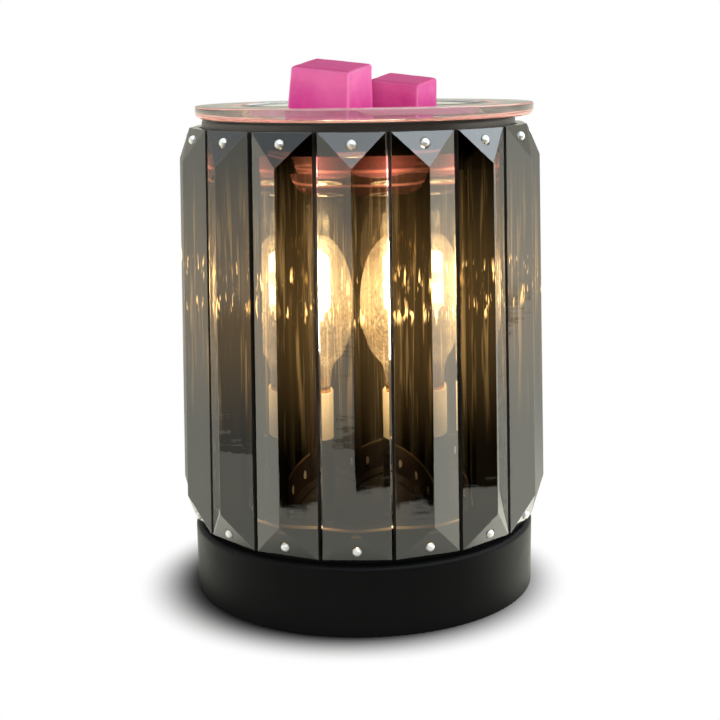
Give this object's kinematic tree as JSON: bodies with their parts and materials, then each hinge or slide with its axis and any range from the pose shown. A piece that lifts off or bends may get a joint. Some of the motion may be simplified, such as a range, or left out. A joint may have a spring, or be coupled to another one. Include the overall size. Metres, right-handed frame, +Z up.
{
  "type": "wax melt warmer",
  "caption": "Electric wax melt warmer: a round black base with a lit globe bulb inside a cage of smoke grey crystal prisms, topped by a clear glass dish with pink wax melts.",
  "frame": {"origin": "centre of the base on the table, under its feet", "axes": "+Z up, the side seen in the picture faces -Y, the cord inlet faces +Y, +X to the viewer's right"},
  "size_m": [0.1234, 0.1234, 0.1768],
  "materials": {
    "satin_black_steel": "satin black stove enamel",
    "smoke_crystal": "polished smoke grey crystal glass",
    "clear_glass": "polished clear pressed glass",
    "lamp_glass": "thin clear blown glass",
    "pin_chrome": "bright chrome plated",
    "lamp_brass": "bright brass",
    "ivory_plastic": "ivory heat resistant moulding",
    "black_plastic": "black moulding",
    "black_rubber": "matt black rubber",
    "pink_wax": "satin translucent wax",
    "zinc_steel": "zinc plated",
    "tungsten": "drawn tungsten wire",
    "lit_tungsten": "glowing filament",
    "white_insulation": "white wire insulation",
    "black_insulation": "black wire insulation"
  },
  "bodies": {
    "base": {"base_shell": "satin_black_steel", "bottom_cover": "black_plastic", "cover_posts": "zinc_steel", "cover_screws": "zinc_steel", "rubber_feet": "black_rubber", "cord_grommet": "black_rubber", "terminal_block": "black_plastic", "live_lead": "black_insulation", "neutral_lead": "white_insulation", "lower_ring": "satin_black_steel", "upper_ring": "satin_black_steel", "ring_screws": "zinc_steel", "ring_nuts": "zinc_steel", "upper_pins": "pin_chrome", "lower_pins": "pin_chrome", "lamp_pedestal": "satin_black_steel", "holder_nipple": "zinc_steel", "nipple_washer": "zinc_steel", "nipple_nut": "zinc_steel", "holder_base": "black_plastic", "holder_contact": "lamp_brass", "holder_shell": "lamp_brass", "holder_sleeve": "ivory_plastic", "crystal_01": "smoke_crystal", "crystal_02": "smoke_crystal", "crystal_03": "smoke_crystal", "crystal_04": "smoke_crystal", "crystal_05": "smoke_crystal", "crystal_06": "smoke_crystal", "crystal_07": "smoke_crystal", "crystal_08": "smoke_crystal", "crystal_09": "smoke_crystal", "crystal_10": "smoke_crystal", "crystal_11": "smoke_crystal", "crystal_12": "smoke_crystal", "crystal_13": "smoke_crystal", "crystal_14": "smoke_crystal", "crystal_15": "smoke_crystal", "crystal_16": "smoke_crystal", "frame_post_1": "satin_black_steel", "frame_post_2": "satin_black_steel", "frame_post_3": "satin_black_steel", "frame_post_4": "satin_black_steel"},
    "dish": {"glass_dish": "clear_glass", "wax_layer": "pink_wax"},
    "left_cube": {"wax_cube_left": "pink_wax"},
    "right_cube": {"wax_cube_right": "pink_wax"},
    "bulb_tip": {"bulb_tip": "zinc_steel"},
    "bulb": {"bulb_glass": "lamp_glass", "bulb_cap": "lamp_brass", "cap_insulator": "black_plastic", "glass_stem": "lamp_glass", "lead_wires": "tungsten", "filament": "lit_tungsten"}
  },
  "joints": [
    {"name": "dish_lift", "type": "slide", "parent": "base", "child": "dish", "axis": [0, 0, 1], "range_m": [0, 0.06]},
    {"name": "left_cube_lift", "type": "slide", "parent": "dish", "child": "left_cube", "axis": [0, 0, 1], "range_m": [0, 0.03]},
    {"name": "right_cube_lift", "type": "slide", "parent": "dish", "child": "right_cube", "axis": [0, 0, 1], "range_m": [0, 0.03]},
    {"name": "bulb_lift", "type": "slide", "parent": "base", "child": "bulb_tip", "axis": [0, 0, 1], "range_m": [0, 0.0127]},
    {"name": "bulb_turn", "type": "hinge", "parent": "bulb_tip", "child": "bulb", "pos_m": [0, 0, 0.06], "axis": [0, 0, 1], "range_deg": [0, 1801]}
  ],
  "couplings": [
    {"joint": "bulb_turn", "follows": "bulb_lift", "rad_per_m": 2473.7}
  ]
}
